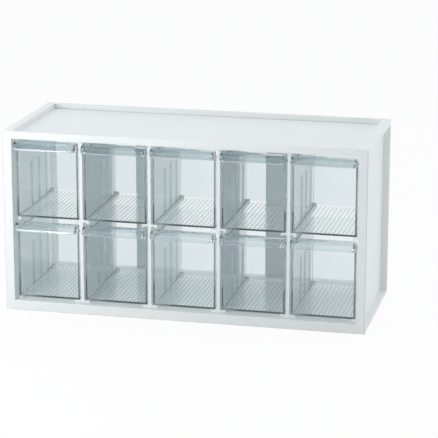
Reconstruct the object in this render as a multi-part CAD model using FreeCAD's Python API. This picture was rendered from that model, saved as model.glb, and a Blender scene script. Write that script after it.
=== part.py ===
import FreeCAD, Part
import os
from FreeCAD import Vector

# Sizes in millimetres. X runs to the right, Y to the back and Z up, seen from the front.

# Drawer layout
columns = 5
rows = 2

# Drawer front and box
drawer_width = 64.0
drawer_height = 78.0
drawer_depth = 110.5
front_thickness = 2.0
front_overhang = 0.3
wall_thickness = 1.6
floor_thickness = 1.5
wall_height = 70.0
rear_radius = 5.5
runner_radius = 0.6
inside_radius = 1.2

# Slots that a loose cross wall can slide into
slots = 3
first_slot = 43.5
slot_pitch = 23.5
slot_width = 2.2
slot_rib_width = 0.8
slot_rib_reach = 0.7
slot_rib_top = 47.5

# Fine ribs along the drawer floor
floor_rib_pitch = 4.35
floor_rib_width = 0.5
floor_rib_height = 0.35

# Pull hood along the top of the drawer front
hood_reach = 12.0
hood_drop = 7.5
hood_thickness = 1.8
cheek_thickness = 2.2
hood_corner_radius = 4.0
plan_allowance = 0.02

# Clearances around the drawers
side_gap = 1.4
end_gap = 2.1
row_gap = 4.85
top_gap = 2.8
stop_clearance = 0.3

# Column dividers and the ledges that carry the drawers
divider_thickness = 3.0
ledge_reach = 6.0
ledge_thickness = 2.0
ledge_lip_width = 2.0
ledge_lip_drop = 1.5
foot_height = 2.4
stop_thickness = 1.7
stop_height = 3.0

# Casing
front_setback = 7.5
rear_space = 30.0
stile_width = 8.8
stile_depth = 4.5
rear_rim_depth = 4.0
side_web = 2.0
side_foot_height = 3.0
panel_web = 2.0
recess_depth = 5.5
bottom_beam_height = 10.0
edge_radius = 0.6

# Slats across the open back
slat_width = 32.0
slat_thickness = 2.5

# Tongues, grooves and tenons between the casing's pieces
fit = 0.1
tongue_reach = 0.9
tongue_thickness = 1.0
divider_tongue = 1.6
tongue_inset = 8.0
tenon_length = 4.0
tenon_height = 3.0
tenon_thickness = 2.0
slat_tenon_width = 20.0
slat_tenon_thickness = 1.2
slat_tenon_length = 3.0

# Sizes that follow from the ones above
pitch_x = drawer_width + 2 * side_gap + divider_thickness
pitch_z = drawer_height + row_gap
inner_half_width = (columns - 1) * pitch_x / 2 + drawer_width / 2 + end_gap
half_width = inner_half_width + stile_width
first_drawer_z = bottom_beam_height + foot_height
ceiling_z = first_drawer_z + (rows - 1) * pitch_z + drawer_height + top_gap
recess_floor_z = ceiling_z + panel_web
height = recess_floor_z + recess_depth
casing_depth = front_setback + drawer_depth + rear_space
divider_depth = drawer_depth + stop_clearance + stop_thickness
hood_overhang = max(hood_reach - front_setback, 0.0)
front_y = -(casing_depth + hood_overhang) / 2 + hood_overhang
rear_y = front_y + casing_depth
drawer_y = front_y + front_setback
stile_rear_y = front_y + stile_depth
rim_front_y = rear_y - rear_rim_depth
groove_depth = tongue_reach + fit
slot_rib_centre = (slot_width + slot_rib_width) / 2


def box(x0, x1, y0, y1, z0, z1):
    """A block between two corners."""
    return Part.makeBox(x1 - x0, y1 - y0, z1 - z0, Vector(x0, y0, z0))


def join(shapes):
    """One solid made of touching or overlapping shapes."""
    return shapes[0].fuse(shapes[1:]).removeSplitter()


def runs_along(edge, axis):
    """Whether a straight edge runs along one axis, 0 to 2."""
    if not isinstance(edge.Curve, Part.Line):
        return False
    span = edge.Vertexes[-1].Point - edge.Vertexes[0].Point
    return abs(span[axis]) > 0.999 * span.Length


def edges_at(shape, axis, lines):
    """Straight edges along an axis, at the given places on the two other axes."""
    across = [i for i in range(3) if i != axis]
    found = []
    for edge in shape.Edges:
        if not runs_along(edge, axis):
            continue
        middle = edge.CenterOfMass
        for first, second in lines:
            if abs(middle[across[0]] - first) < 1e-4 and abs(middle[across[1]] - second) < 1e-4:
                found.append(edge)
    return found


def round_edges(shape, radius, edges):
    """The shape with a radius on the named edges."""
    return shape.makeFillet(radius, edges) if edges else shape


# Casing: top and bottom panels

def column_x(column):
    """Centre of a column of drawers, counted from the left, 0 first."""
    return (column - (columns - 1) / 2) * pitch_x


def divider_x(index):
    """Centre of the divider to the right of a column."""
    return column_x(index) + pitch_x / 2


def slat_columns():
    """Columns with a slat behind them: every second one, starting from the second."""
    return list(range(1, columns, 2))


def tenon(side, y_middle, z_middle, clearance):
    """A tenon on a beam's end, or its pocket when it has a clearance."""
    x0 = inner_half_width
    x1 = inner_half_width + tenon_length + clearance
    y_half = tenon_thickness / 2 + clearance
    z_half = tenon_height / 2 + clearance
    low, high = (x0, x1) if side > 0 else (-x1, -x0)
    return box(low, high, y_middle - y_half, y_middle + y_half, z_middle - z_half, z_middle + z_half)


def tenon_places():
    """Middle of each beam's end, as (y, z)."""
    front = front_y + stile_depth / 2
    rear = rear_y - rear_rim_depth / 2
    top = (ceiling_z + height) / 2
    bottom = bottom_beam_height / 2
    return [(front, top), (rear, top), (front, bottom), (rear, bottom)]


def divider_slot(index, z0, z1):
    """The groove in a panel that a divider's tongue sits in."""
    x = divider_x(index)
    half = divider_tongue / 2 + fit
    y0 = drawer_y + tongue_inset - fit
    y1 = drawer_y + divider_depth - tongue_inset + fit
    return box(x - half, x + half, y0, y1, z0, z1)


def slat_slot(column, z0, z1):
    """The slot in a rear rim that a slat's tenon sits in."""
    x = column_x(column)
    half = slat_tenon_width / 2 + fit
    y_middle = rear_y - slat_thickness / 2
    y_half = slat_tenon_thickness / 2 + fit
    return box(x - half, x + half, y_middle - y_half, y_middle + y_half, z0, z1)


def panel(web_z, beam_z0, beam_z1, inside_z, outward):
    """A web between a front beam and a rear rim, with tongues and tenons on its ends."""
    reach = inner_half_width + tongue_reach
    parts = [
        box(-inner_half_width, inner_half_width, stile_rear_y, rim_front_y, web_z, web_z + panel_web),
        box(-inner_half_width, inner_half_width, front_y, stile_rear_y, beam_z0, beam_z1),
        box(-inner_half_width, inner_half_width, rim_front_y, rear_y, beam_z0, beam_z1),
    ]
    body = join(parts)
    lines = [(front_y, beam_z0), (front_y, beam_z1), (rear_y, beam_z0), (rear_y, beam_z1)]
    lines += [(stile_rear_y, height), (rim_front_y, height)]
    body = round_edges(body, edge_radius, edges_at(body, 0, lines))
    joints = [box(-reach, reach, stile_rear_y, rim_front_y, web_z, web_z + tongue_thickness)]
    for y, z in tenon_places():
        if beam_z0 < z < beam_z1:
            joints += [tenon(-1, y, z, 0.0), tenon(1, y, z, 0.0)]
    body = join([body] + joints)
    groove_end = inside_z + outward * groove_depth
    slot_end = inside_z + outward * (slat_tenon_length + fit)
    cuts = [divider_slot(i, min(inside_z, groove_end), max(inside_z, groove_end)) for i in range(columns - 1)]
    cuts += [slat_slot(c, min(inside_z, slot_end), max(inside_z, slot_end)) for c in slat_columns()]
    return body.cut(cuts)


def top_panel():
    """The top: a sunk floor between the front beam and the rear rim."""
    return panel(ceiling_z, ceiling_z, height, ceiling_z, 1)


def bottom_panel():
    """The base: a floor level with the top of its front beam, hollow underneath."""
    web_z = bottom_beam_height - panel_web
    return panel(web_z, 0.0, bottom_beam_height, bottom_beam_height, -1)


# Casing: ledges, side panels, dividers and slats

def ledges(face_x, direction):
    """Ledges of every row on one upright face, reaching out in a direction along X."""
    y0 = drawer_y
    y1 = drawer_y + divider_depth
    stop_y = y1 - stop_thickness
    tip_x = face_x + direction * ledge_reach
    lip_x = tip_x - direction * ledge_lip_width
    parts = []
    for row in range(rows):
        top_z = first_drawer_z + row * pitch_z
        under_z = bottom_beam_height if row == 0 else top_z - ledge_thickness
        low, high = min(face_x, tip_x), max(face_x, tip_x)
        parts.append(box(low, high, y0, y1, under_z, top_z))
        parts.append(box(low, high, stop_y, y1, top_z, top_z + stop_height))
        if row > 0:
            low, high = min(lip_x, tip_x), max(lip_x, tip_x)
            parts.append(box(low, high, y0, y1, under_z - ledge_lip_drop, under_z))
    return parts


def side_panel(side):
    """A side: a thin web with a rim around its outer face and ledges on its inner face."""
    inner = side * inner_half_width
    outer = side * half_width
    web = side * (inner_half_width + side_web)
    low, high = min(inner, outer), max(inner, outer)
    body = box(low, high, front_y, rear_y, 0.0, height)
    low, high = min(web, outer), max(web, outer)
    body = body.cut(box(low, high, stile_rear_y, rim_front_y, side_foot_height, recess_floor_z))
    lines_x = [(front_y, 0.0), (front_y, height), (rear_y, 0.0), (rear_y, height)]
    lines_y = [(outer, 0.0), (outer, height), (inner, height)]
    lines_z = [(outer, front_y), (outer, rear_y)]
    edges = edges_at(body, 0, lines_x) + edges_at(body, 1, lines_y) + edges_at(body, 2, lines_z)
    body = round_edges(body, edge_radius, edges)
    groove = side * (inner_half_width + groove_depth)
    low, high = min(inner, groove), max(inner, groove)
    cuts = []
    for web_z in (bottom_beam_height - panel_web, ceiling_z):
        cuts.append(box(low, high, stile_rear_y, rim_front_y, web_z - fit, web_z + tongue_thickness + fit))
    cuts += [tenon(side, y, z, fit) for y, z in tenon_places()]
    return join([body.cut(cuts)] + ledges(inner, -side))


def column_divider(index):
    """An upright plate with ledges on both faces and a tongue at each end."""
    x = divider_x(index)
    half = divider_thickness / 2
    y1 = drawer_y + divider_depth
    parts = [box(x - half, x + half, drawer_y, y1, bottom_beam_height, ceiling_z)]
    tongue_half = divider_tongue / 2
    parts.append(box(x - tongue_half, x + tongue_half, drawer_y + tongue_inset, y1 - tongue_inset,
                     bottom_beam_height - tongue_reach, ceiling_z + tongue_reach))
    parts += ledges(x - half, -1)
    parts += ledges(x + half, 1)
    return join(parts)


def back_slat(column):
    """An upright slat between the rear rims, with a tenon at each end."""
    x = column_x(column)
    half = slat_width / 2
    body = box(x - half, x + half, rear_y - slat_thickness, rear_y, bottom_beam_height, ceiling_z)
    half = slat_tenon_width / 2
    y_middle = rear_y - slat_thickness / 2
    y_half = slat_tenon_thickness / 2
    tenons = box(x - half, x + half, y_middle - y_half, y_middle + y_half,
                 bottom_beam_height - slat_tenon_length, ceiling_z + slat_tenon_length)
    return join([body, tenons])


# Drawer: drawn once with its front face on y = 0, its middle on x = 0 and its underside on z = 0

def rounded_trough(half, y0, y1, z0, z1, rear, sides):
    """A block with a radius where its underside meets its rear, and along both lower sides."""
    body = box(-half, half, y0, y1, z0, z1)
    body = body.makeFillet(rear, edges_at(body, 0, [(y1, z0)]))
    chain = []
    for edge in body.Edges:
        points = [v.Point for v in edge.Vertexes]
        at_side = all(abs(abs(p.x) - half) < 1e-6 for p in points)
        at_top = all(abs(p.z - z1) < 1e-6 for p in points)
        at_front = all(abs(p.y - y0) < 1e-6 for p in points)
        if at_side and not at_top and not at_front:
            chain.append(edge)
    return body.makeFillet(sides, chain)


def drawer_box():
    """Floor, two sides and rear wall."""
    half = drawer_width / 2 - front_overhang
    inner_half = half - wall_thickness
    y0 = front_thickness
    rear = drawer_depth - wall_thickness
    rear_inside = max(rear_radius - wall_thickness, inside_radius + 0.1)
    outer = rounded_trough(half, 0.0, drawer_depth, 0.0, wall_height, rear_radius, runner_radius)
    inner = rounded_trough(inner_half, y0 - 10.0, rear, floor_thickness, wall_height + 10.0,
                           rear_inside, inside_radius)
    room = inner.common(box(-drawer_width, drawer_width, y0, drawer_depth, 0.0, wall_height + 10.0))
    return outer.cut(room)


def slot_ribs():
    """Pairs of upright ribs on both side walls."""
    inner_half = drawer_width / 2 - front_overhang - wall_thickness
    parts = []
    for slot in range(slots):
        for offset in (-slot_rib_centre, slot_rib_centre):
            y = first_slot + slot * slot_pitch + offset
            y0 = y - slot_rib_width / 2
            y1 = y + slot_rib_width / 2
            z0 = floor_thickness / 2
            tip = inner_half - slot_rib_reach
            root = inner_half + wall_thickness / 2
            parts.append(box(-root, -tip, y0, y1, z0, slot_rib_top))
            parts.append(box(tip, root, y0, y1, z0, slot_rib_top))
    return parts


def floor_ribs():
    """Fine ribs along the flat of the floor."""
    inner_half = drawer_width / 2 - front_overhang - wall_thickness
    flat_half = inner_half - inside_radius
    steps = int((flat_half - floor_rib_width) / floor_rib_pitch)
    rear = drawer_depth - wall_thickness - max(rear_radius - wall_thickness, inside_radius)
    top = floor_thickness + floor_rib_height
    parts = []
    for step in range(-steps, steps + 1):
        x = step * floor_rib_pitch
        parts.append(box(x - floor_rib_width / 2, x + floor_rib_width / 2, front_thickness / 2, rear,
                         floor_thickness / 2, top))
    return parts


def quarter_hood(reach, drop, half, corner):
    """A quarter of an oval bar in front of the drawer front, with rounded front corners."""
    bottom = drawer_height - hood_drop
    bar_half = half + corner
    centre = Vector(-bar_half, 0, bottom)
    arms = sorted([Vector(0, reach, 0), Vector(0, 0, drop)], key=lambda arm: -arm.Length)
    oval = Part.Ellipse(centre + arms[0], centre + arms[1], centre)
    bar = Part.Face(Part.Wire([oval.toShape()])).extrude(Vector(2 * bar_half, 0, 0))
    nose = reach + plan_allowance
    plan = box(-half, half, -nose, 0.0, bottom, drawer_height + corner)
    plan = round_edges(plan, corner, edges_at(plan, 2, [(-half, -nose), (half, -nose)]))
    return bar.common(plan)


def hood():
    """The pull: a curved shell with a cheek at each end, open underneath."""
    half = drawer_width / 2
    outer = quarter_hood(hood_reach, hood_drop, half, hood_corner_radius)
    inner = quarter_hood(hood_reach - hood_thickness, hood_drop - hood_thickness, half - cheek_thickness,
                         max(hood_corner_radius - hood_thickness, 0.5))
    return outer.cut(inner)


def drawer_shape():
    """Front, hood, box and ribs in one moulding."""
    half = drawer_width / 2
    front = box(-half, half, 0.0, front_thickness, 0.0, drawer_height)
    return join([front, hood(), drawer_box()] + slot_ribs() + floor_ribs())


def drawer_at(shape, column, row):
    """A copy of the drawer in its place in the casing."""
    copy = shape.copy()
    copy.translate(Vector(column_x(column), drawer_y, first_drawer_z + row * pitch_z))
    return copy


def all_pieces():
    """Every piece of the organizer by name."""
    pieces = {
        "top_panel": top_panel(),
        "bottom_panel": bottom_panel(),
        "side_panel_left": side_panel(-1),
        "side_panel_right": side_panel(1),
    }
    for index in range(columns - 1):
        pieces["column_divider_%d" % (index + 1)] = column_divider(index)
    for place, column in zip(("left", "right"), slat_columns()):
        pieces["back_slat_" + place] = back_slat(column)
    shape = drawer_shape()
    for row, level in zip(range(rows), ("lower", "upper")):
        for column in range(columns):
            pieces["drawer_%s_%d" % (level, column + 1)] = drawer_at(shape, column, row)
    return pieces


os.makedirs("parts", exist_ok=True)
for name, shape in all_pieces().items():
    shape.exportStep("parts/%s.step" % name)
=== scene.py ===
import logging
import math
from dataclasses import dataclass, field, replace
from enum import Enum
from typing import Any

import bmesh
import bpy
from mathutils import Matrix, Vector


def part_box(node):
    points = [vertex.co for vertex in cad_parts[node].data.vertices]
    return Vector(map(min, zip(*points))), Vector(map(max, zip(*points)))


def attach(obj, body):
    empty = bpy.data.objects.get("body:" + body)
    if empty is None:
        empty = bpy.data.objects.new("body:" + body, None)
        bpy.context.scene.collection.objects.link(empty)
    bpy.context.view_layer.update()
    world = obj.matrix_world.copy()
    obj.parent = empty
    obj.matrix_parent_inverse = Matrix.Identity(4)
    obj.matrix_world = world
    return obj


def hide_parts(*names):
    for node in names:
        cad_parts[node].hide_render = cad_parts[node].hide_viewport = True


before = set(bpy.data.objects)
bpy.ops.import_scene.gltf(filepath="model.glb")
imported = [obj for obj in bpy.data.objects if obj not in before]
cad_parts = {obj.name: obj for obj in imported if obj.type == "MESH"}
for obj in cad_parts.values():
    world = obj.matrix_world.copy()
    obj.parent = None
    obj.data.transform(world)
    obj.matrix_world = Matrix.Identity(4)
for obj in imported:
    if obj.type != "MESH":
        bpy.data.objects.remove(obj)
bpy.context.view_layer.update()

log = logging.getLogger("drawer_organizer")

# Lengths are in metres unless a name ends in _mm.
MM = 0.001
MERGE = 1e-6
HAIR = 0.01 * MM
WHITE = "ffffff"

# The standard sRGB curve: a straight piece near black, then a power.
SRGB_KNEE = 0.04045
SRGB_SLOPE = 12.92
SRGB_OFFSET = 0.055
SRGB_POWER = 2.4


# Colours and nodes

def linear(hex_colour: str) -> tuple[float, float, float, float]:
    """Turns an sRGB hex colour into the linear colour that a shader takes.

    Args:
        hex_colour: six hex digits, such as "f2f3f2".

    Returns:
        Linear red, green and blue, with an alpha of 1.
    """
    channels = [int(hex_colour[i:i + 2], 16) / 255 for i in (0, 2, 4)]
    red, green, blue = (c / SRGB_SLOPE if c <= SRGB_KNEE
                        else ((c + SRGB_OFFSET) / (1 + SRGB_OFFSET)) ** SRGB_POWER for c in channels)
    return (red, green, blue, 1.0)


def add_node(tree: bpy.types.NodeTree, kind: str, settings: dict[str, Any] | None = None,
             inputs: dict[str | int, Any] | None = None) -> bpy.types.Node:
    """Adds a node with its settings, and sets or links its inputs.

    Args:
        tree: the node tree that takes the node.
        kind: the type name of the node.
        settings: the node's own properties by name.
        inputs: values or output sockets by input name or number.

    Returns:
        The new node.
    """
    node = tree.nodes.new(kind)
    for name, value in (settings or {}).items():
        setattr(node, name, value)
    for name, value in (inputs or {}).items():
        if isinstance(value, bpy.types.NodeSocket):
            tree.links.new(value, node.inputs[name])
        else:
            node.inputs[name].default_value = value
    return node


def empty_material(name: str) -> tuple[bpy.types.Material, bpy.types.NodeTree]:
    """Makes a material whose node tree holds nothing yet.

    Args:
        name: the material's name.

    Returns:
        The material and its node tree.
    """
    material = bpy.data.materials.new(name)
    material.use_nodes = True
    material.node_tree.nodes.clear()
    return material, material.node_tree


def seen_directly(tree: bpy.types.NodeTree) -> bpy.types.NodeSocket:
    """Tells rays that look at the background, also by gloss or through plastic, from rays that light.

    Args:
        tree: the node tree that takes the nodes.

    Returns:
        A socket that is 1 where the background is looked at, and 0 where it lights a surface.
    """
    path = add_node(tree, "ShaderNodeLightPath")
    either = add_node(tree, "ShaderNodeMath", {"operation": "MAXIMUM"}, {
        0: path.outputs["Is Camera Ray"], 1: path.outputs["Is Transmission Ray"]})
    seen = add_node(tree, "ShaderNodeMath", {"operation": "MAXIMUM"}, {
        0: either.outputs["Value"], 1: path.outputs["Is Glossy Ray"]})
    return seen.outputs["Value"]


# Finishes

@dataclass(frozen=True)
class MouldedHips:
    """White high-impact polystyrene, injection moulded in a finely etched mould.

    The eye sees an even, slightly cool white with a soft satin sheen and no grain at arm's length.
    Close to, a fine etched texture breaks the highlights, and long flat walls swim very slightly. Where
    two pieces meet in a corner, painted shade darkens the corner into a thin grey line. Down the outer
    front corners of the sides, a fine grey line of painted shade runs along the rounded edge.

    Args:
        name: the material's name.
        painted_corner_shade: whether tight corners get a thin grey line of painted shade.
        painted_edge_shade: half the width and the front plane of a piece whose front outer corners get a
            line of painted shade.
    """

    name: str = "moulded_white_hips"
    painted_corner_shade: bool = False
    painted_edge_shade: tuple[float, float] | None = None
    colour: str = "f3f5f5"
    shade_colour: str = "eff2f2"
    roughness: float = 0.42
    roughness_spread: float = 0.06
    ior: float = 1.59
    # The etching is finer than a millimetre, and is drawn just coarse enough to show.
    grain_mm: float = 0.9
    grain_depth_mm: float = 0.015
    grain_strength: float = 0.25
    grain_detail: float = 3.0
    grain_roughness: float = 0.6
    swim_mm: float = 60.0
    swim_detail: float = 2.0
    corner_mm: float = 1.2
    corner_samples: int = 8
    corner_closed: float = 0.35
    corner_open: float = 0.8
    # Colour of the painted shade in tight corners.
    corner_shade_colour: str = "a9b2b6"
    # Width and colour of the line of painted shade down the front outer corners.
    edge_shade_mm: float = 0.6
    edge_shade_colour: str = "d2d7d8"

    def build(self) -> bpy.types.Material:
        """Builds the material.

        Returns:
            The material.
        """
        material, tree = empty_material(self.name)
        place = add_node(tree, "ShaderNodeTexCoord").outputs["Object"]
        swim = add_node(tree, "ShaderNodeTexNoise", inputs={
            "Vector": place, "Scale": 1 / (self.swim_mm * MM), "Detail": self.swim_detail})
        grain = add_node(tree, "ShaderNodeTexNoise", inputs={
            "Vector": place, "Scale": 1 / (self.grain_mm * MM), "Detail": self.grain_detail,
            "Roughness": self.grain_roughness})
        tone = add_node(tree, "ShaderNodeMix", {"data_type": "RGBA"}, {
            "Factor": swim.outputs["Fac"], "A": linear(self.colour), "B": linear(self.shade_colour)})
        colour = tone.outputs["Result"]
        # Painted shade: tight corners are darkened into a grey line by ambient occlusion.
        if self.painted_corner_shade:
            colour = self.with_painted_corner_shade(tree, colour)
        # Painted shade: a fine grey line down the front outer corners.
        if self.painted_edge_shade:
            colour = self.with_painted_edge_shade(tree, place, colour)
        gloss = add_node(tree, "ShaderNodeMapRange", inputs={
            "Value": swim.outputs["Fac"], "To Min": self.roughness - self.roughness_spread,
            "To Max": self.roughness + self.roughness_spread})
        bump = add_node(tree, "ShaderNodeBump", inputs={
            "Height": grain.outputs["Fac"], "Strength": self.grain_strength,
            "Distance": self.grain_depth_mm * MM})
        shader = add_node(tree, "ShaderNodeBsdfPrincipled", inputs={
            "Base Color": colour, "Roughness": gloss.outputs["Result"],
            "IOR": self.ior, "Normal": bump.outputs["Normal"]})
        add_node(tree, "ShaderNodeOutputMaterial", inputs={"Surface": shader.outputs["BSDF"]})
        return material

    def with_painted_corner_shade(self, tree: bpy.types.NodeTree,
                         colour: bpy.types.NodeSocket) -> bpy.types.NodeSocket:
        """Paints shade into a colour in tight corners, where ambient occlusion finds them.

        Args:
            tree: the material's nodes.
            colour: the socket with the colour so far.

        Returns:
            The socket with the new colour.
        """
        corner = add_node(tree, "ShaderNodeAmbientOcclusion", {"samples": self.corner_samples}, {
            "Distance": self.corner_mm * MM})
        openness = add_node(tree, "ShaderNodeMapRange", {"interpolation_type": "SMOOTHSTEP"}, {
            "Value": corner.outputs["AO"], "From Min": self.corner_closed, "From Max": self.corner_open})
        return add_node(tree, "ShaderNodeMix", {"data_type": "RGBA"}, {
            "Factor": openness.outputs["Result"], "A": linear(self.corner_shade_colour),
            "B": colour}).outputs["Result"]

    def with_painted_edge_shade(self, tree: bpy.types.NodeTree, place: bpy.types.NodeSocket,
                          colour: bpy.types.NodeSocket) -> bpy.types.NodeSocket:
        """Paints a line of shade down the front outer corners over a colour.

        Args:
            tree: the material's nodes.
            place: the socket with the Object coordinates.
            colour: the socket with the colour so far.

        Returns:
            The socket with the new colour.
        """
        half_width, front_y = self.painted_edge_shade
        parts = add_node(tree, "ShaderNodeSeparateXYZ", inputs={"Vector": place})
        away = add_node(tree, "ShaderNodeMath", {"operation": "ABSOLUTE"}, {0: parts.outputs["X"]})
        outer = add_node(tree, "ShaderNodeMath", {"operation": "GREATER_THAN"}, {
            0: away.outputs["Value"], 1: half_width - self.edge_shade_mm * MM})
        front = add_node(tree, "ShaderNodeMath", {"operation": "LESS_THAN"}, {
            0: parts.outputs["Y"], 1: front_y + self.edge_shade_mm * MM})
        line = add_node(tree, "ShaderNodeMath", {"operation": "MULTIPLY"}, {
            0: outer.outputs["Value"], 1: front.outputs["Value"]})
        return add_node(tree, "ShaderNodeMix", {"data_type": "RGBA"}, {
            "Factor": line.outputs["Value"], "A": colour,
            "B": linear(self.edge_shade_colour)}).outputs["Result"]


@dataclass(frozen=True)
class ClearStyrene:
    """Clear general-purpose polystyrene, injection moulded in a polished mould.

    The eye looks straight through a wall, with a faint cool tone. Along every thin edge, where light has
    come a long way through the plastic, it sees a dark grey-green. The curved hood has a greyer tint,
    which is painted shade where it is darkened for the upper row. The ribbed floor is left untinted, so
    it looks clearer than the walls: painted light that stands for the light it scatters upwards. The
    thin rim along the top of the front lets more of the light straight through, and a white diffuse
    band along the lower lip of the hood is a painted highlight, a pale line where the lamps glint.

    Args:
        name: the material's name.
        hood_tint_and_shade: the hoods' tint; in the upper row it is darker, as painted shade.
        lip_highlight_share: how strong the painted highlight along the hoods' lower lips is, from 0 to 1.
    """

    name: str
    hood_tint_and_shade: str
    tint: str = "f1f6f7"
    # The floor's lighter tint is painted light.
    floor_painted_light_tint: str = WHITE
    face_tint: str = "fdfefe"
    # The white band along the hoods' lower lips is a painted highlight.
    lip_highlight_colour: str = WHITE
    depth_colour: str = "dee3e5"
    depth_density: float = 36.0
    roughness: float = 0.02
    ior: float = 1.55
    rim_mm: float = 1.6
    rim_share: float = 0.75
    thin_ior: float = 1.02
    lip_mm: float = 0.7
    lip_highlight_share: float = 0.6
    front_mm: float = 3.0
    floor_mm: float = 2.6

    def build(self, front_y: float, lip_z: float, low_z: float, top_z: float) -> bpy.types.Material:
        """Builds the material.

        Args:
            front_y: the plane of the drawer fronts, in metres; the hoods lie in front of it.
            lip_z: the height of the hoods' lower lips, in metres.
            low_z: the height of the drawers' lower edges, in metres.
            top_z: the height of the drawers' upper edges, in metres.

        Returns:
            The material.
        """
        material, tree = empty_material(self.name)
        place = add_node(tree, "ShaderNodeTexCoord").outputs["Object"]
        parts = add_node(tree, "ShaderNodeSeparateXYZ", inputs={"Vector": place})
        on_hood = add_node(tree, "ShaderNodeMath", {"operation": "LESS_THAN"}, {
            0: parts.outputs["Y"], 1: front_y - HAIR})
        low = add_node(tree, "ShaderNodeMath", {"operation": "LESS_THAN"}, {
            0: parts.outputs["Z"], 1: low_z + self.floor_mm * MM})
        behind = add_node(tree, "ShaderNodeMath", {"operation": "GREATER_THAN"}, {
            0: parts.outputs["Y"], 1: front_y + self.front_mm * MM})
        on_floor = add_node(tree, "ShaderNodeMath", {"operation": "MULTIPLY"}, {
            0: low.outputs["Value"], 1: behind.outputs["Value"]})
        # Painted light: the floor is left untinted so that it looks brighter.
        body = add_node(tree, "ShaderNodeMix", {"data_type": "RGBA"}, {
            "Factor": on_floor.outputs["Value"], "A": linear(self.tint), "B": linear(self.floor_painted_light_tint)})
        # The hood tint; the upper row's darker tint is painted shade.
        tone = add_node(tree, "ShaderNodeMix", {"data_type": "RGBA"}, {
            "Factor": on_hood.outputs["Value"], "A": body.outputs["Result"], "B": linear(self.hood_tint_and_shade)})
        on_rim = add_node(tree, "ShaderNodeMapRange", {"interpolation_type": "SMOOTHSTEP"}, {
            "Value": parts.outputs["Z"], "From Min": top_z - self.rim_mm * MM, "From Max": top_z,
            "To Max": self.rim_share})
        clear = add_node(tree, "ShaderNodeBsdfPrincipled", inputs={
            "Base Color": tone.outputs["Result"], "Roughness": self.roughness, "IOR": self.ior,
            "Transmission Weight": 1.0})
        low_down = add_node(tree, "ShaderNodeMapRange", inputs={
            "Value": parts.outputs["Z"], "From Min": lip_z, "From Max": lip_z + self.lip_mm * MM,
            "To Min": self.lip_highlight_share, "To Max": 0.0})
        on_lip_highlight = add_node(tree, "ShaderNodeMath", {"operation": "MULTIPLY"}, {
            0: low_down.outputs["Result"], 1: on_hood.outputs["Value"]})
        # Painted highlight: a white diffuse band along the hood's lower lip.
        highlight_band = add_node(tree, "ShaderNodeBsdfDiffuse", inputs={"Color": linear(self.lip_highlight_colour)})
        edged = add_node(tree, "ShaderNodeMixShader", inputs={
            0: on_lip_highlight.outputs["Value"], 1: clear.outputs["BSDF"], 2: highlight_band.outputs["BSDF"]})
        passing = add_node(tree, "ShaderNodeBsdfTransparent", inputs={"Color": linear(self.face_tint)})
        thin = add_node(tree, "ShaderNodeBsdfRefraction", inputs={
            "Color": linear(self.face_tint), "Roughness": self.roughness, "IOR": self.thin_ior})
        moulding = add_node(tree, "ShaderNodeMixShader", inputs={
            0: on_rim.outputs["Result"], 1: edged.outputs["Shader"], 2: thin.outputs["BSDF"]})
        path = add_node(tree, "ShaderNodeLightPath")
        lit_through = add_node(tree, "ShaderNodeMixShader", inputs={
            0: path.outputs["Is Diffuse Ray"], 1: moulding.outputs["Shader"], 2: passing.outputs["BSDF"]})
        mix = add_node(tree, "ShaderNodeMixShader", inputs={
            0: path.outputs["Is Shadow Ray"], 1: lit_through.outputs["Shader"], 2: passing.outputs["BSDF"]})
        depth = add_node(tree, "ShaderNodeVolumeAbsorption", inputs={
            "Color": linear(self.depth_colour), "Density": self.depth_density})
        add_node(tree, "ShaderNodeOutputMaterial", inputs={
            "Surface": mix.outputs["Shader"], "Volume": depth.outputs["Volume"]})
        return material


@dataclass(frozen=True)
class StudioWhite:
    """Matt white paper that the organizer stands on: lit by the lamps, and pure white to the eye."""

    name: str = "studio_paper"
    colour: str = "f4f4f4"
    glow: float = 0.93

    def build(self) -> bpy.types.Material:
        """Builds the material.

        Returns:
            The material.
        """
        material, tree = empty_material(self.name)
        paper = add_node(tree, "ShaderNodeBsdfDiffuse", inputs={"Color": linear(self.colour)})
        white = add_node(tree, "ShaderNodeEmission", inputs={"Strength": 1.0})
        share = add_node(tree, "ShaderNodeMath", {"operation": "MULTIPLY"}, {
            0: seen_directly(tree), 1: self.glow})
        mix = add_node(tree, "ShaderNodeMixShader", inputs={
            0: share.outputs["Value"], 1: paper.outputs["BSDF"], 2: white.outputs["Emission"]})
        add_node(tree, "ShaderNodeOutputMaterial", inputs={"Surface": mix.outputs["Shader"]})
        return material


# The organizer

class Level(Enum):
    """The two rows of drawers."""

    LOWER = "lower"
    UPPER = "upper"


def dress(node: str, material: bpy.types.Material) -> None:
    """Gives a CAD node its finish.

    Args:
        node: the node's name.
        material: its new material.
    """
    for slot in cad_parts[node].material_slots:
        slot.link = "OBJECT"
        slot.material = material
    log.info("%s wears %s", node, material.name)


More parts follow.
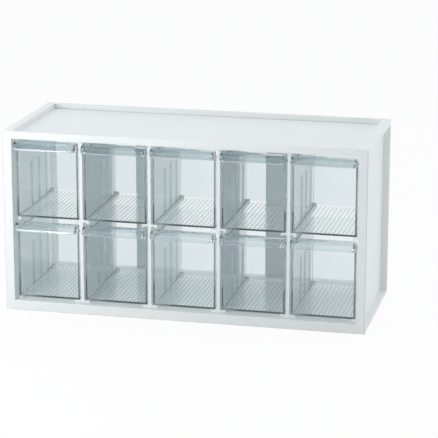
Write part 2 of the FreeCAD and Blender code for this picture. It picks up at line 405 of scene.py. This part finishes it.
@dataclass
class Casing:
    """The white cabinet: top, base, two sides, dividers and back slats."""

    finish: MouldedHips = MouldedHips()
    # This finish paints shade into the tight corners of the top and base.
    corner_shaded_finish: MouldedHips = MouldedHips("moulded_white_hips_corner_shaded", painted_corner_shade=True)
    corner_shaded: tuple[str, ...] = ("top_panel", "bottom_panel")
    sides: tuple[str, ...] = ("side_panel_left", "side_panel_right")
    slats: tuple[str, ...] = ("back_slat_left", "back_slat_right")
    divider_count: int = 4

    def build(self) -> None:
        """Dresses every piece of the casing."""
        white = self.finish.build()
        corner_shaded_white = self.corner_shaded_finish.build()
        for name in self.corner_shaded:
            dress(name, corner_shaded_white)
        low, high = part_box("side_panel_right")
        # The sides get a line of painted shade down their front outer corners.
        edge_shaded_white = replace(self.finish, name="moulded_white_hips_edge_shaded",
                               painted_edge_shade=(high.x, low.y)).build()
        for name in self.sides:
            dress(name, edge_shaded_white)
        dividers = [f"column_divider_{i + 1}" for i in range(self.divider_count)]
        for name in [*self.slats, *dividers]:
            dress(name, white)


@dataclass(frozen=True)
class Softening:
    """How the sharp edges of a moulding are rounded, in millimetres and degrees."""

    radius_mm: float = 0.15
    steps: int = 2
    sharpest: float = 35.0

    def apply(self, shape: bmesh.types.BMesh) -> None:
        """Rounds the sharp edges of a shape.

        Args:
            shape: the merged shape, in metres.
        """
        limit = math.radians(self.sharpest)
        sharp = [e for e in shape.edges if e.is_manifold and e.calc_face_angle() > limit]
        bmesh.ops.bevel(shape, geom=sharp, offset=self.radius_mm * MM, offset_type="OFFSET",
                        segments=self.steps, profile=0.5, affect="EDGES", material=-1)


@dataclass
class Drawer:
    """One clear drawer: front, hood and box in one moulding, with softly rounded edges.

    Args:
        level: its row.
        column: its column, counted from the left, 1 first.
        softening: how its edges are rounded.
        seat_mm: the film of air between its floor and the ledges.
        shading_weight: how far large faces lead the shading, up to 100.
    """

    level: Level
    column: int
    softening: Softening = Softening()
    seat_mm: float = 0.03
    shading_weight: int = 100

    @property
    def node(self) -> str:
        """The name of its CAD node and of its body."""
        return f"drawer_{self.level.value}_{self.column}"

    def build(self, material: bpy.types.Material) -> bpy.types.Object:
        """Builds the drawer from a merged copy of its CAD node.

        Args:
            material: its finish.

        Returns:
            The new piece.
        """
        shape = bmesh.new()
        shape.from_mesh(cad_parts[self.node].data)
        bmesh.ops.remove_doubles(shape, verts=shape.verts, dist=MERGE)
        self.softening.apply(shape)
        bmesh.ops.translate(shape, verts=shape.verts, vec=(0, 0, self.seat_mm * MM))
        for face in shape.faces:
            face.smooth = True
            face.material_index = 0
        mesh = bpy.data.meshes.new(f"{self.node}_moulding")
        shape.to_mesh(mesh)
        shape.free()
        mesh.materials.clear()
        mesh.materials.append(material)
        piece = bpy.data.objects.new(f"{self.node}_moulding", mesh)
        bpy.context.scene.collection.objects.link(piece)
        shading = piece.modifiers.new("even_shading", "WEIGHTED_NORMAL")
        shading.weight = self.shading_weight
        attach(piece, self.node)
        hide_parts(self.node)
        log.info("%s: %d faces", piece.name, len(mesh.polygons))
        return piece


@dataclass
class DrawerBank:
    """The clear drawers, five columns in two rows; the upper hoods get a darker tint, painted shade for the
    top beam.
    """

    finishes: dict[Level, ClearStyrene] = field(default_factory=lambda: {
        # The lower row's lip carries a weaker painted highlight.
        Level.LOWER: ClearStyrene("moulded_clear_gpps_lower", "eaf0f2", lip_highlight_share=0.15),
        # Painted shade: the upper hoods' darker tint stands for the shade of the top beam.
        Level.UPPER: ClearStyrene("moulded_clear_gpps_upper_shaded", "cad6d9"),
    })
    columns: int = 5
    hood_reach_mm: float = 12.0
    hood_drop_mm: float = 7.5

    def build(self) -> list[bpy.types.Object]:
        """Builds every drawer.

        Returns:
            The drawers, row by row from the left.
        """
        pieces = []
        for level, finish in self.finishes.items():
            drawers = [Drawer(level, column + 1) for column in range(self.columns)]
            low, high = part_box(drawers[0].node)
            material = finish.build(front_y=low.y + self.hood_reach_mm * MM,
                                    lip_z=high.z - self.hood_drop_mm * MM, low_z=low.z, top_z=high.z)
            pieces += [drawer.build(material) for drawer in drawers]
        return pieces


# The studio

@dataclass
class Lamp:
    """One soft rectangular lamp, aimed at a point.

    Args:
        name: the lamp's name.
        place: where it hangs, in metres.
        aim: the point it faces, in metres.
        size: its width and height, in metres.
        power: its power, in watts.
        colour: its sRGB hex colour.
    """

    name: str
    place: tuple[float, float, float]
    aim: tuple[float, float, float]
    size: tuple[float, float]
    power: float
    colour: str = WHITE

    def build(self) -> None:
        """Hangs the lamp."""
        light = bpy.data.lights.new(self.name, "AREA")
        light.shape = "RECTANGLE"
        light.size, light.size_y = self.size
        light.energy = self.power
        light.color = linear(self.colour)[:3]
        lamp = bpy.data.objects.new(self.name, light)
        lamp.location = self.place
        lamp.rotation_euler = (Vector(self.aim) - Vector(self.place)).to_track_quat("-Z", "Y").to_euler()
        bpy.context.scene.collection.objects.link(lamp)


@dataclass
class Studio:
    """White paper, a pale sky, soft lamps and the camera."""

    floor: StudioWhite = StudioWhite()
    floor_half_width: float = 8.0
    floor_drop: float = 0.0002
    sky_dim: float = 0.24
    sky_bright: float = 1.16
    bright_way: tuple[float, float, float] = (0.0, 1.0, 0.0)
    sky_colour: str = "f6fbff"
    light_bounces: int = 32
    diffuse_bounces: int = 8
    lamps: list[Lamp] = field(default_factory=lambda: [
        Lamp("key_front_left", (-0.43, -0.62, 0.31), (0.0, 0.0, 0.09), (0.3, 0.3), 2.2),
        Lamp("right_fill", (0.9, 0.15, 0.3), (0.18, 0.0, 0.09), (0.3, 0.3), 0.8),
        Lamp("top_fill", (-0.1, 0.0, 1.6), (0.0, 0.0, 0.09), (1.2, 1.0), 3.0),
    ])
    camera_place: tuple[float, float, float] = (0.4601, -1.8946, 0.5999)
    camera_aim: tuple[float, float, float] = (0.0373, -0.07175, 0.1072)
    camera_roll: float = 0.105
    lens_mm: float = 163.6
    sensor_mm: float = 36.0
    farthest: float = 50.0

    def build_floor(self) -> None:
        """Lays the paper just under the organizer."""
        shape = bmesh.new()
        bmesh.ops.create_grid(shape, x_segments=1, y_segments=1, size=self.floor_half_width)
        bmesh.ops.translate(shape, verts=shape.verts, vec=(0, 0, -self.floor_drop))
        mesh = bpy.data.meshes.new("studio_floor")
        shape.to_mesh(mesh)
        shape.free()
        paper = bpy.data.objects.new("studio_floor", mesh)
        paper.data.materials.append(self.floor.build())
        bpy.context.scene.collection.objects.link(paper)

    def build_sky(self) -> None:
        """Lights the scene, more from behind than from the front, and shows white to the eye."""
        world = bpy.data.worlds.new("studio_sky")
        world.use_nodes = True
        tree = world.node_tree
        tree.nodes.clear()
        seen = seen_directly(tree)
        way = add_node(tree, "ShaderNodeTexCoord").outputs["Generated"]
        facing = add_node(tree, "ShaderNodeVectorMath", {"operation": "DOT_PRODUCT"}, {
            0: way, 1: self.bright_way})
        strength = add_node(tree, "ShaderNodeMapRange", inputs={
            "Value": facing.outputs["Value"], "From Min": -1.0, "From Max": 1.0,
            "To Min": self.sky_dim, "To Max": self.sky_bright})
        lit = add_node(tree, "ShaderNodeBackground", inputs={
            "Color": linear(self.sky_colour), "Strength": strength.outputs["Result"]})
        white = add_node(tree, "ShaderNodeBackground", inputs={"Color": linear(WHITE), "Strength": 1.0})
        mix = add_node(tree, "ShaderNodeMixShader", inputs={
            0: seen, 1: lit.outputs["Background"], 2: white.outputs["Background"]})
        add_node(tree, "ShaderNodeOutputWorld", inputs={"Surface": mix.outputs["Shader"]})
        bpy.context.scene.world = world

    def build_camera(self) -> None:
        """Places the camera where the photograph was taken from."""
        camera = bpy.data.cameras.new("photo_camera")
        camera.lens = self.lens_mm
        camera.sensor_width = self.sensor_mm
        camera.clip_end = self.farthest
        holder = bpy.data.objects.new("photo_camera", camera)
        turn = (Vector(self.camera_aim) - Vector(self.camera_place)).to_track_quat("-Z", "Y")
        roll = Matrix.Rotation(math.radians(self.camera_roll), 4, "Z")
        holder.matrix_world = Matrix.Translation(self.camera_place) @ turn.to_matrix().to_4x4() @ roll
        bpy.context.scene.collection.objects.link(holder)
        bpy.context.scene.camera = holder

    def build(self) -> None:
        """Sets up the studio."""
        self.build_floor()
        self.build_sky()
        for lamp in self.lamps:
            lamp.build()
        self.build_camera()
        bpy.context.scene.view_settings.view_transform = "Standard"
        paths = bpy.context.scene.cycles
        for limit in ("max_bounces", "transmission_bounces", "transparent_max_bounces", "glossy_bounces"):
            setattr(paths, limit, self.light_bounces)
        paths.diffuse_bounces = self.diffuse_bounces
        log.info("studio with %d lamps", len(self.lamps))


def main() -> None:
    """Builds the organizer and its studio."""
    logging.basicConfig(level=logging.INFO, format="%(name)s: %(message)s")
    Casing().build()
    DrawerBank().build()
    Studio().build()


if __name__ == "__main__":
    main()
